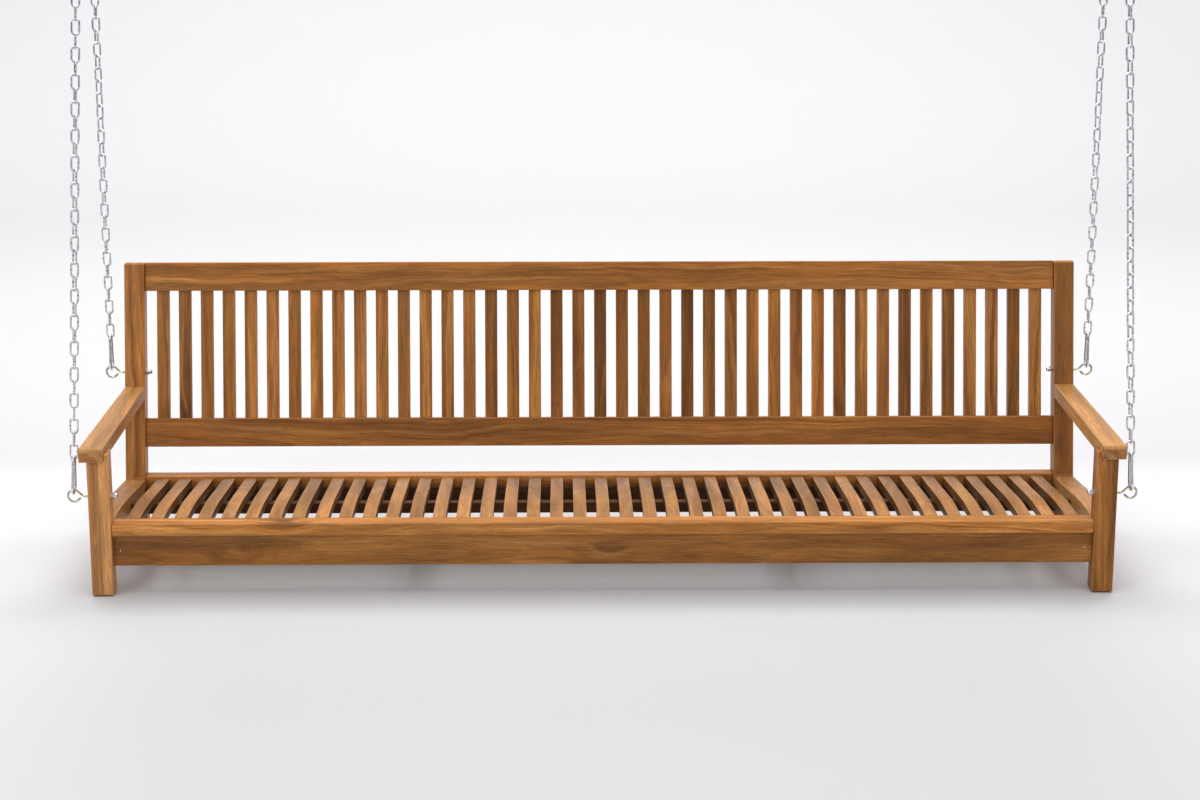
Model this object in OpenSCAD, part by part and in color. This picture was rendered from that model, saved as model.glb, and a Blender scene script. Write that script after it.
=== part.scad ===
// Hanging swing bed: a long slatted teak bench hung on four long-link chains.
// The origin is midway between the two front ceiling screws, in the plane of the
// ceiling. X runs along the bench, Y towards the back, Z up, so the bench hangs
// below the origin.

/* [Bench] */
// Overall length of the frame, outside leg to outside leg
overall_w = 2400; // [1500:50:2500]
// Width and depth of a front leg
leg = 50; // [46:2:56]
// Height of the underside of the armrests above the feet
arm_z = 326; // [300:2:350]
// Thickness of the armrests
arm_t = 34; // [28:1:38]
// How far the armrests reach forward of the legs
arm_over = 14; // [6:1:20]
// How far the front ends of the armrests reach outward of the legs
arm_flare = 15; // [4:1:18]

/* [Seat] */
// Number of seat slats, and of back slats
slat_n = 41; // [15:2:41]
// Width of a slat
slat_w = 31; // [24:1:34]
// Thickness of a seat slat
slat_t = 22; // [18:1:24]
// Thickness of the front seat board
board_t = 30; // [26:1:34]
// Height of the front apron
apron_h = 75; // [60:1:90]
// Thickness of the front apron
apron_t = 22; // [20:1:24]

/* [Back] */
// Angle by which the back leans from upright
recline = 12.5; // [8:0.5:16]
// Length of the reclined part of a back post
post_l = 545; // [480:5:560]
// Height of the two back rails
rail_h = 72; // [60:1:80]
// Thickness of the two back rails
rail_t = 30; // [28:1:36]
// Height of the lower back rail above the bend of the posts
low_rail = 79; // [74:1:90]
// Thickness of a back slat
back_slat_t = 18; // [14:1:20]

/* [Hardware] */
// Wire diameter of a chain link
chain_w = 4.5; // [4:0.1:4.6]
// Inside width of a chain link
chain_iw = 12.4; // [10:0.1:13]
// Inside length of a chain link
chain_il = 31; // [30:0.5:32]
// Links in each front chain
front_links = 36; // [36:2:40]
// Lean of the front chains towards the middle of the bench
front_lean = 3; // [0:0.5:4]
// Wire diameter of a snap hook
snap_w = 7.5; // [7:0.1:7.5]
// Wire diameter of an eye bolt's ring
eye_w = 5.2; // [5:0.1:5.4]
// Shank diameter of an eye bolt
eye_shank = 8; // [7:0.5:8]
// Wire diameter of a ceiling hook
hook_w = 6; // [5.5:0.1:6.5]
// Diameter of the ceiling screws
screw_d = 8; // [7:0.5:8]

/* [Hidden] */
$fn = 48;

teak = "#b5763c";
teak_pale = "#d6a57d";
zinc = "#b9bcbd";
brassy = "#b3a468";

// clearance between metal pieces that hang in each other
gap = 0.3;
half_w = overall_w / 2;
in_x = half_w - leg;
// plan of the seat, from the front face of the legs
board_y0 = 5;
board_y1 = 53;
board_z = 172.5;
apron_y0 = 15;
apron_y1 = apron_y0 + apron_t;
apron_z0 = board_z - board_t - apron_h;
rear_y0 = 530;
rear_y1 = 570;
rear_z = 137;
post_y = 525;
post_d = 50;
bend_z = 134;
side_z0 = 72;
slat_pitch = (2 * in_x - 59) / (slat_n - 1 + slat_w / 55.25);

// Top line of the seat, front to back, as height over the feet: a soft crown at
// the front, then a steady fall towards the back
crown = [[-10, 172.5], [50, 173], [110, 172], [170, 169.5], [230, 165], [290, 158.5],
    [350, 151.5], [410, 144.5], [470, 138], [530, 131.5], [590, 125]];
function cr(a, b, c, d, t) = b + (c - a) * t / 2 + (2 * a - 5 * b + 4 * c - d) * t * t / 2
    + (3 * b - a - 3 * c + d) * t * t * t / 2;
function seat_z(y) = let (i = max(1, min(len(crown) - 3, floor((y + 10) / 60))), t = (y - crown[i][0]) / 60)
    cr(crown[i - 1][1], crown[i][1], crown[i + 1][1], crown[i + 2][1], t);
// stations along the seat, shared by the slats and what they lie on
stations = [50, 53, 67, 80, 95, 110, 130, 150, 170, 190, 210, 230, 250, 270, 290, 310, 330,
    350, 370, 390, 410, 430, 450, 470, 490, 508, 525, 530];
function seat_line(y0, y1, dz) = [for (y = stations) if (y >= y0 && y <= y1) [y, seat_z(y) + dz]];

// ---- hardware heights, over the feet ----
eye_z_front = 236;
eye_z_rear = 391;
eye_r = 14;
eye_x = half_w + 36;
washer_t = 1.6;
nut_w = 1.625 * eye_shank;
eye_y_front = leg / 2;
eye_y_rear = post_y + (eye_z_rear - bend_z) * tan(recline) + post_d / 2 / cos(recline);
pitch = chain_il - gap + 0.05;
link_h = chain_il + chain_w;
snap_r1 = 16.25;
snap_r2 = 9.25;
snap_c = 63;
snap_len = snap_r1 + snap_c + snap_r2;
snap_tilt = asin((snap_r1 - snap_r2) / snap_c);
// along a chain, from the centre of the eye's wire
snap_d0 = -(eye_w / 2 + gap + snap_w / 2);
link_d0 = snap_d0 + snap_len - snap_w / 2 - gap - chain_w / 2;
hook_r = 15;
function hang_len(n) = link_d0 + link_h + pitch * (n - 1) - hook_w / 2 - gap - chain_w / 2;
hook_z = eye_z_front + eye_r + hang_len(front_links) * cos(front_lean);
ceiling_z = hook_z + 2 * hook_r + 14;
hook_x_front = eye_x - hang_len(front_links) * sin(front_lean);
// the rear chains are slack by 3 mm in their hooks, which takes up the rise of the
// front of the bench when it swings
rear_slack = 3;
rear_links = floor((hook_z - eye_z_rear - eye_r + rear_slack - hang_len(1)) / pitch + 0.5) + 1;

// ---- places ----
// heights over the feet, to the ceiling's frame
module bench() { translate([0, -eye_y_front, -ceiling_z]) children(); }
// the reclined plane of the back: local Z along the posts, local Y to the rear
module back() { translate([0, post_y, bend_z]) rotate([-recline, 0, 0]) children(); }
module side(s) { if (s < 0) mirror([1, 0, 0]) children(); else children(); }
module box(a, b) { translate(a) cube([b[0] - a[0], b[1] - a[1], b[2] - a[2]]); }
// a board with a side view drawn in (Y, Z), from x0 to x1
module board_x(x0, x1, pts) { translate([x0, 0, 0]) rotate([90, 0, 90]) linear_extrude(x1 - x0) polygon(pts); }
// cutter for a rounded edge along X: the edge is at the origin, the wood lies at +Y, -Z
module edge_x(x0, x1, r) {
    difference() {
        translate([x0 - 1, -1, -r]) cube([x1 - x0 + 2, r + 1, r + 1]);
        translate([x0 - 2, r, -r]) rotate([0, 90, 0]) cylinder(r = r, h = x1 - x0 + 4);
    }
}

// ---- tenons, each used by the piece that has it and cut from the piece that holds it ----
module apron_tenon() { box([in_x - 1, apron_y0 + 5, apron_z0 + 10], [in_x + 25, apron_y1 - 5, board_z - board_t - 10]); }
module side_front_tenon() { box([in_x + 15, leg - 14, 95], [half_w - 15, leg + 1, 150]); }
module side_rear_tenon() { box([in_x + 15, post_y - 1, 84], [half_w - 15, post_y + 12, 122]); }
module rear_rail_tenon() { box([in_x - 1, rear_y0 + 10, 80], [in_x + 25, rear_y1 - 10, 126]); }
module arm_tenon() { box([in_x + 15, post_y + 30, arm_z + 8], [half_w - 15, post_y + 70, arm_z + arm_t - 8]); }
// the whole section of a leg is let into the underside of its armrest
module leg_tenon() { box([in_x, 0, arm_z - 1], [half_w, leg, arm_z + 15]); }
module back_rail_tenon(z0) { back() box([in_x - 1, 19, z0 + 12], [in_x + 25, 31, z0 + rail_h - 12]); }
module board_dowel_place() { for (y = [18, 38]) translate([in_x - 25, y, board_z - board_t / 2]) rotate([0, 90, 0]) children(); }

// ---- the wooden frame ----
module front_leg(s) {
    color(teak) bench() side(s) difference() {
        union() { box([in_x, 0, 0], [half_w, leg, arm_z]); leg_tenon(); }
        apron_tenon();
        side_front_tenon();
        board_dowel_place() cylinder(d = 10, h = 45);
        translate([in_x - 1, eye_y_front, eye_z_front]) rotate([0, 90, 0]) cylinder(d = eye_shank + 0.1, h = leg + 2);
    }
}
module back_post(s) {
    color(teak) bench() side(s) difference() {
        union() {
            box([in_x, post_y, 0], [half_w, post_y + post_d, bend_z]);
            back() difference() {
                box([in_x, 0, 0], [half_w, post_d, post_l]);
                translate([0, 0, post_l]) edge_x(in_x, half_w, 8);
                translate([0, post_d, post_l]) mirror([0, 1, 0]) edge_x(in_x, half_w, 8);
                for (e = [0, 1]) translate([e == 0 ? half_w : in_x, 0, post_l]) mirror([e == 0 ? 1 : 0, 0, 0])
                    rotate([0, 0, 90]) mirror([0, 1, 0]) edge_x(0, post_d, 7);
            }
        }
        side_rear_tenon();
        rear_rail_tenon();
        arm_tenon();
        back_rail_tenon(low_rail);
        back_rail_tenon(post_l - rail_h);
        translate([in_x - 1, eye_y_rear, eye_z_rear]) rotate([0, 90, 0]) cylinder(d = eye_shank + 0.1, h = leg + 2);
    }
}
module armrest(s) {
    color(teak_pale) bench() side(s) difference() {
        union() {
            difference() {
                translate([0, 0, arm_z]) linear_extrude(arm_t) polygon([[in_x + 8, -arm_over], [half_w + arm_flare, -arm_over],
                    [half_w, post_y + 60], [in_x, post_y + 60]]);
                back() box([in_x - 20, 0, 0], [half_w + 20, 120, post_l]);
                translate([0, -arm_over, arm_z + arm_t]) edge_x(in_x, half_w + 20, 10);
            }
            difference() { arm_tenon(); back() box([in_x, -100, 0], [half_w, -1, post_l]); }
        }
        leg_tenon();
    }
}
module seat_side_rail(s) {
    color(teak_pale) bench() side(s) union() {
        board_x(in_x, half_w, concat([[leg, side_z0]], seat_line(leg, post_y, -1), [[post_y, side_z0]]));
        side_front_tenon();
        side_rear_tenon();
    }
}
module seat_front_board() {
    color(teak_pale) bench() difference() {
        box([-in_x, board_y0, board_z - board_t], [in_x, board_y1, board_z]);
        translate([0, board_y0, board_z]) edge_x(-in_x, in_x, 5);
        slat_places() box([-slat_w / 2 + 3, board_y1 - 8, 153], [slat_w / 2 - 3, board_y1 + 1, 165]);
        for (s = [-1, 1]) side(s) board_dowel_place() translate([0, 0, -1]) cylinder(d = 10, h = 26);
    }
}
module front_apron() {
    color(teak) bench() difference() {
        union() {
            box([-in_x, apron_y0, apron_z0], [in_x, apron_y1, board_z - board_t]);
            for (s = [-1, 1]) side(s) apron_tenon();
        }
        for (s = [-1, 1]) translate([s * (in_x - 18), apron_y0 - 1, 105]) rotate([-90, 0, 0]) cylinder(d = 2.6, h = 17);
        cleat_places() translate([0, apron_y1 - 14, 0]) rotate([-90, 0, 0]) cylinder(d = 4.6, h = 20);
    }
}
module front_seat_cleat() {
    color(teak) bench() difference() {
        board_x(-in_x, in_x, [[apron_y1, 75], [67, 75], [67, seat_z(67) - slat_t], [board_y1, seat_z(board_y1) - slat_t],
            [board_y1, board_z - board_t], [apron_y1, board_z - board_t]]);
        cross_places() box([-11, 59, 80], [11, 68, 106]);
        cleat_places() translate([0, apron_y1 - 1, 0]) rotate([-90, 0, 0]) cylinder(d = 4.6, h = 40);
    }
}
module seat_mid_bearer() {
    color(teak) bench() difference() {
        board_x(-in_x, in_x, concat([[290, 110.7]], seat_line(290, 330, -slat_t), [[330, 110.7]]));
        slat_places() translate([0, 310, 100]) cylinder(d = 4.2, h = 60);
    }
}
module rear_seat_cleat() {
    color(teak) bench() difference() {
        board_x(-in_x, in_x, concat([[508, 75]], seat_line(508, 530, -slat_t), [[530, 75]]));
        cross_places() box([-11, 507, 80], [11, 516, 106]);
        cleat_places() translate([0, 500, -10]) rotate([-90, 0, 0]) cylinder(d = 4.6, h = 40);
    }
}
module rear_seat_rail() {
    color(teak_pale) bench() difference() {
        union() {
            box([-in_x, rear_y0, 66], [in_x, rear_y1, rear_z]);
            for (s = [-1, 1]) side(s) rear_rail_tenon();
        }
        slat_places() box([-slat_w / 2 + 3, rear_y0 - 1, 113], [slat_w / 2 - 3, rear_y0 + 8, 126]);
        cleat_places() translate([0, rear_y0 - 1, -10]) rotate([-90, 0, 0]) cylinder(d = 4.6, h = 24);
    }
}
// the cross beams stand between two slats' screws
module cross_places() { for (s = [-1, 1]) translate([s * (floor((slat_n - 1) / 5) + 0.3) * slat_pitch, 0, 0]) children(); }
module seat_cross_beams() {
    color(teak) bench() cross_places() union() {
        box([-11, 67, 75], [11, 508, 110.7]);
        box([-11, 59, 80], [11, 68, 106]);
        box([-11, 507, 80], [11, 516, 106]);
    }
}
module slat_places() { for (i = [0 : slat_n - 1]) translate([(i - (slat_n - 1) / 2) * slat_pitch, 0, 0]) children(); }
module seat_slats() {
    color(teak_pale) bench() slat_places() difference() {
        union() {
            board_x(-slat_w / 2, slat_w / 2, concat(seat_line(board_y1, rear_y0, 0),
                [for (k = [len(stations) - 1 : -1 : 1]) [stations[k], seat_z(stations[k]) - slat_t]]));
            box([-slat_w / 2 + 3, board_y1 - 8, 153], [slat_w / 2 - 3, board_y1 + 1, 165]);
            box([-slat_w / 2 + 3, rear_y0 - 1, 113], [slat_w / 2 - 3, rear_y0 + 8, 126]);
        }
        translate([0, 310, 100]) cylinder(d = 4.2, h = 48);
    }
}
module back_rail(z0, up) {
    bench() difference() {
        union() {
            back() box([-in_x, 10, z0], [in_x, 10 + rail_t, z0 + rail_h]);
            for (s = [-1, 1]) side(s) back_rail_tenon(z0);
        }
        back() slat_places() if (up > 0) back_slat_tenon(z0 + rail_h, 1); else back_slat_tenon(z0, -1);
    }
}
module back_slat_tenon(z, s) {
    y0 = 10 + (rail_t - back_slat_t) / 2 + 3;
    box([-slat_w / 2 + 3, y0, z - (s > 0 ? 10 : 1)], [slat_w / 2 - 3, y0 + back_slat_t - 6, z + (s > 0 ? 1 : 10)]);
}
module back_top_rail() { color(teak) back_rail(post_l - rail_h, -1); }
module back_lower_rail() { color(teak) back_rail(low_rail, 1); }
module back_slats() {
    y0 = 10 + (rail_t - back_slat_t) / 2;
    color(teak) bench() back() slat_places() union() {
        box([-slat_w / 2, y0, low_rail + rail_h], [slat_w / 2, y0 + back_slat_t, post_l - rail_h]);
        back_slat_tenon(low_rail + rail_h, 1);
        back_slat_tenon(post_l - rail_h, -1);
    }
}

// ---- hidden fixings ----
module front_board_dowels() {
    color("#c79a66") bench() for (s = [-1, 1]) side(s) board_dowel_place() translate([0, 0, 0.5]) cylinder(d = 9.9, h = 44);
}
module bearer_screws() {
    color(zinc) bench() slat_places() translate([0, 310, 108]) union() {
        cylinder(d = 4, h = 39);
        translate([0, 0, 0.2]) cylinder(d = 7.5, h = 2.4);
    }
}
module cleat_places() { for (x = [-0.9, -0.57, -0.2, 0.2, 0.57, 0.9]) translate([x * in_x, 0, 98]) children(); }
module cleat_screws() {
    color(zinc) bench() {
        cleat_places() translate([0, 68, 0]) rotate([90, 0, 0]) union() {
            cylinder(d = 4.4, h = 43);
            translate([0, 0, -1.7]) cylinder(d = 8, h = 2.6);
        }
        cleat_places() translate([0, 507, -10]) rotate([-90, 0, 0]) union() {
            cylinder(d = 4.4, h = 42);
            translate([0, 0, -1.7]) cylinder(d = 8, h = 2.6);
        }
    }
}
module apron_pins() {
    color("#cfcfcf") bench() for (s = [-1, 1]) translate([s * (in_x - 18), apron_y0 - 0.6, 105]) rotate([-90, 0, 0]) cylinder(d = 2.5, h = 16);
}

// ---- eye bolts ----
module ring(r, w, a0, a1) { rotate([90, 0, 0]) rotate([0, 0, a0]) rotate_extrude(angle = a1 - a0) translate([r, 0]) circle(d = w); }
// an eye bent from thinner wire than the shank: its free end comes back to just under
// the neck. The shank runs towards -X through the wood into a washer and a cap nut
module eye_bolt(s, y, z) {
    neck = [-20, 0];
    a = 130;
    p = [eye_r * cos(a), eye_r * sin(a)];
    d = [neck[0] - p[0], neck[1] - p[1]];
    color(brassy) bench() side(s) translate([eye_x, y, z]) union() {
        ring(eye_r, eye_w, -a, a);
        for (m = [1, -1]) translate([p[0], 0, m * p[1]]) rotate([0, 90 - atan2(m * d[1], d[0]), 0]) {
            sphere(d = eye_w + 0.5);
            cylinder(d = eye_w, h = norm(d) * (m > 0 ? 1 : 0.58));
        }
        // the shank starts where the eye's wire has run into it
        translate([neck[0] + 2.6, 0, 0]) rotate([0, -90, 0]) cylinder(d = eye_shank, h = eye_x - in_x + neck[0] + 2.6 + washer_t + 9);
    }
}
module nut_places() {
    for (s = [-1, 1], p = [[eye_y_front, eye_z_front], [eye_y_rear, eye_z_rear]])
        side(s) translate([in_x, p[0], p[1]]) rotate([0, -90, 0]) children();
}
module eye_washers() {
    color(zinc) bench() nut_places() difference() {
        cylinder(d = 2 * eye_shank, h = washer_t);
        translate([0, 0, -1]) cylinder(d = eye_shank + 0.4, h = washer_t + 2);
    }
}
module cap_nuts() {
    r = nut_w / 2;
    color(zinc) bench() nut_places() translate([0, 0, washer_t]) difference() {
        union() {
            linear_extrude(6.5) polygon([for (k = [0 : 5]) [r / cos(30) * cos(60 * k), r / cos(30) * sin(60 * k)]]);
            translate([0, 0, 8.6]) sphere(r = r - 0.1);
        }
        translate([0, 0, -1]) cylinder(d = eye_shank + 0.2, h = 11);
    }
}

// ---- chains ----
// axis of one hanging chain, from the wire of its eye
module hang(s, y, z, lean) { bench() side(s) translate([eye_x, y, z + eye_r]) rotate([0, -lean, 0]) children(); }
module front_hang(s) { hang(s, eye_y_front, eye_z_front, front_lean) children(); }
module rear_hang(s) { hang(s, eye_y_rear, eye_z_rear, 0) children(); }
module chain_link() {
    r = (chain_iw + chain_w) / 2;
    h = chain_il - chain_iw;
    for (m = [0, 180]) rotate([0, m, 0]) translate([0, 0, h / 2]) rotate([90, 0, 0])
        rotate_extrude(angle = 180) translate([r, 0]) circle(d = chain_w);
    for (m = [-1, 1]) translate([m * r, 0, -h / 2]) cylinder(d = chain_w, h = h);
}
// links cross at right angles, with a slow turn between the ends: a swell that
// fades out at both ends, plus a whole quarter turn where the count needs one
module chain(n, swell) {
    quarter = n % 2 == 0 ? 0 : 90;
    for (i = [0 : n - 1]) translate([0, 0, link_d0 + link_h / 2 + pitch * i])
        rotate([0, 0, 90 * i + quarter * i / (n - 1) + swell * sin(180 * i / (n - 1))]) chain_link();
}
module chain_front(s) { color(zinc) front_hang(s) chain(front_links, 34 * s); }
module chain_rear(s) { color(zinc) rear_hang(s) chain(rear_links, -24); }

// ---- snap hooks: a bent wire with a sprung gate on its front side ----
// local frame: centre of the large bow at the origin, Z up the hook, gate at -Y
gate_t = 62.607;
nose_t = 4;
pivot_t = 48;
module snap_place() { translate([0, 0, snap_d0 + snap_r1]) rotate([0, 0, -90]) children(); }
// along the gate side, from the end of the large bow
module gate_side() { translate([snap_r1 * cos(snap_tilt), 0, snap_r1 * sin(snap_tilt)]) rotate([0, -snap_tilt, 0]) children(); }
module snap_body() {
    l = snap_c * cos(snap_tilt);
    difference() {
        union() {
            rotate([90, 0, 0]) rotate([0, 0, 180 - snap_tilt]) rotate_extrude(angle = 180 + 2 * snap_tilt) translate([snap_r1, 0]) circle(d = snap_w);
            translate([0, 0, snap_c]) rotate([90, 0, 0]) rotate([0, 0, snap_tilt]) rotate_extrude(angle = 180 - 2 * snap_tilt) translate([snap_r2, 0]) circle(d = snap_w);
            mirror([1, 0, 0]) gate_side() {
                cylinder(d = snap_w, h = l);
                sphere(d = snap_w + 0.3);
                translate([0, 0, l]) sphere(d = snap_w + 0.3);
            }
            gate_side() sphere(d = snap_w + 0.3);
            gate_side() translate([0, 0, l]) sphere(d = snap_w + 0.3);
            gate_side() cylinder(d = snap_w, h = nose_t + 2);
            gate_side() translate([0, 0, pivot_t + 4]) cylinder(d = snap_w, h = l - pivot_t - 4);
            gate_side() translate([0, 1.5, pivot_t]) rotate([90, 0, 0]) cylinder(r = 2.9, h = 3);
            gate_side() translate([-2.9, -1.5, pivot_t]) cube([5.8, 3, 6]);
        }
        // the nose is cut on a slope, so the gate can only open inwards
        gate_side() translate([0, -10, nose_t]) rotate([0, -35, 0]) translate([-20, 0, 0]) cube([40, 20, 12]);
        gate_side() translate([0, 5, pivot_t]) rotate([90, 0, 0]) cylinder(d = 2.5, h = 10);
    }
}
module snap_gate_body() {
    difference() {
        union() {
            gate_side() cylinder(d = 6.8, h = pivot_t);
            gate_side() translate([0, 3.2, pivot_t]) rotate([90, 0, 0]) cylinder(r = 3.6, h = 6.4);
        }
        gate_side() translate([0, -10, nose_t + gap]) rotate([0, -35, 0]) translate([-20, 0, -20]) cube([40, 20, 20]);
        gate_side() translate([-5, -1.9, pivot_t - 3.4]) cube([10, 3.8, 8]);
        gate_side() translate([0, 5, pivot_t]) rotate([90, 0, 0]) cylinder(d = 2.62, h = 10);
    }
}
module gate_rivet() {
    gate_side() translate([0, 3.6, pivot_t]) rotate([90, 0, 0]) cylinder(d = 2.5, h = 7.2);
}
module snap_hook_front(s) { color(zinc) front_hang(s) snap_place() snap_body(); }
module snap_hook_rear(s) { color(zinc) rear_hang(s) snap_place() snap_body(); }
module snap_gate_front(s) { color(zinc) front_hang(s) snap_place() snap_gate_body(); }
module snap_gate_rear(s) { color(zinc) rear_hang(s) snap_place() snap_gate_body(); }
module gate_rivet_front(s) { color(zinc) front_hang(s) snap_place() gate_rivet(); }
module gate_rivet_rear(s) { color(zinc) rear_hang(s) snap_place() gate_rivet(); }

// ---- ceiling hooks: an open hook, a flange and a lag screw above the ceiling ----
module ceiling_hook(s, x, y) {
    color(zinc) bench() side(s) translate([x, y, hook_z + hook_r]) union() {
        ring(hook_r, hook_w, 90, 398);
        translate([0, 0, hook_r]) sphere(d = hook_w + 0.6);
        translate([0, 0, hook_r]) cylinder(d = hook_w, h = 12);
        translate([0, 0, hook_r + 11]) cylinder(d = 24, h = 3);
        translate([0, 0, hook_r + 13]) cylinder(d = screw_d, h = 51);
        translate([0, 0, hook_r + 64]) cylinder(d1 = screw_d, d2 = 1.5, h = 10);
    }
}

front_leg(-1);  // front_leg_left
front_leg(1);  // front_leg_right
back_post(-1);  // back_post_left
back_post(1);  // back_post_right
armrest(-1);  // armrest_left
armrest(1);  // armrest_right
seat_side_rail(-1);  // seat_side_rail_left
seat_side_rail(1);  // seat_side_rail_right
seat_front_board();
front_apron();
front_seat_cleat();
seat_mid_bearer();
rear_seat_cleat();
rear_seat_rail();
seat_cross_beams();
seat_slats();
back_slats();
back_top_rail();
back_lower_rail();
front_board_dowels();
bearer_screws();
cleat_screws();
apron_pins();
eye_washers();
cap_nuts();
eye_bolt(-1, eye_y_front, eye_z_front);  // eye_bolt_front_left
eye_bolt(1, eye_y_front, eye_z_front);  // eye_bolt_front_right
eye_bolt(-1, eye_y_rear, eye_z_rear);  // eye_bolt_rear_left
eye_bolt(1, eye_y_rear, eye_z_rear);  // eye_bolt_rear_right
snap_hook_front(-1);  // snap_hook_front_left
snap_hook_front(1);  // snap_hook_front_right
snap_hook_rear(-1);  // snap_hook_rear_left
snap_hook_rear(1);  // snap_hook_rear_right
snap_gate_front(-1);  // snap_gate_front_left
snap_gate_front(1);  // snap_gate_front_right
snap_gate_rear(-1);  // snap_gate_rear_left
snap_gate_rear(1);  // snap_gate_rear_right
gate_rivet_front(-1);  // gate_rivet_front_left
gate_rivet_front(1);  // gate_rivet_front_right
gate_rivet_rear(-1);  // gate_rivet_rear_left
gate_rivet_rear(1);  // gate_rivet_rear_right
chain_front(-1);  // chain_front_left
chain_front(1);  // chain_front_right
chain_rear(-1);  // chain_rear_left
chain_rear(1);  // chain_rear_right
ceiling_hook(-1, hook_x_front, eye_y_front);  // ceiling_hook_front_left
ceiling_hook(1, hook_x_front, eye_y_front);  // ceiling_hook_front_right
ceiling_hook(-1, eye_x, eye_y_rear);  // ceiling_hook_rear_left
ceiling_hook(1, eye_x, eye_y_rear);  // ceiling_hook_rear_right
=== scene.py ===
import math

import bmesh
import bpy
import numpy as np
from mathutils import Matrix, Vector


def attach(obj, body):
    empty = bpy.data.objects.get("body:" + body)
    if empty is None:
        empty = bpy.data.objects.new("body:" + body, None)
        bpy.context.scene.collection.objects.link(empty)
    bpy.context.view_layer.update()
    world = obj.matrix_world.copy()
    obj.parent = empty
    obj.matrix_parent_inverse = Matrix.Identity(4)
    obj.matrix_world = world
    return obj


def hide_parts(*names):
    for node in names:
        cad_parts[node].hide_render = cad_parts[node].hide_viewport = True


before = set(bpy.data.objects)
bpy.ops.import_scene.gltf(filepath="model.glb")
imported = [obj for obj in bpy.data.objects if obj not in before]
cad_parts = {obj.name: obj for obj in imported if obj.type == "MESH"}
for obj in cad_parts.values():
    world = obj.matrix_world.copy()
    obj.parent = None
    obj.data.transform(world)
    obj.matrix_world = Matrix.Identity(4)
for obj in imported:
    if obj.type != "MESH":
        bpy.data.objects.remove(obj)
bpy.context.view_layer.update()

# ---------------------------------------------------------------- shared sizes
# Wood is written in the bench's own millimetres: X along the bench, Y from the
# front face of the legs, Z above the feet. to_frame() takes it to the model.
HALF = 1200.0
INX = 1150.0
REC = math.radians(12.5)
CR, SR = math.cos(REC), math.sin(REC)
LEAN = math.radians(3.0)
PITCH = 55.25
SLATS = 41
LINK_D0 = 75.55
LINK_PITCH = 30.75
HANG = LINK_D0 + 35.5 + LINK_PITCH * 35 - 3 - 0.3 - 2.25
HOOK_Z = 250.0 + HANG * math.cos(LEAN)
CEIL = HOOK_Z + 44.0
HOOK_X = 1236.0 - HANG * math.sin(LEAN)
EYE_YR = 525 + 257 * math.tan(REC) + 25 / CR
FLOOR = -4.0


def to_frame(p):
    q = np.asarray(p, float) - np.array([0.0, 25.0, CEIL])
    return q * 0.001


CROWN = [(-10, 172.5), (50, 173), (110, 172), (170, 169.5), (230, 165), (290, 158.5),
         (350, 151.5), (410, 144.5), (470, 138), (530, 131.5), (590, 125)]


def seat_z(y):
    i = max(1, min(len(CROWN) - 3, int(math.floor((y + 10) / 60))))
    t = (y - CROWN[i][0]) / 60
    a, b, c, d = (CROWN[k][1] for k in (i - 1, i, i + 1, i + 2))
    return (b + (c - a) * t / 2 + (2 * a - 5 * b + 4 * c - d) * t * t / 2
            + (3 * b - a - 3 * c + d) * t ** 3 / 2)


def seat_line(y0, y1, dz, step=12.0):
    n = max(2, int(round((y1 - y0) / step)))
    return [(y0 + (y1 - y0) * k / n, seat_z(y0 + (y1 - y0) * k / n) + dz) for k in range(n + 1)]


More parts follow.
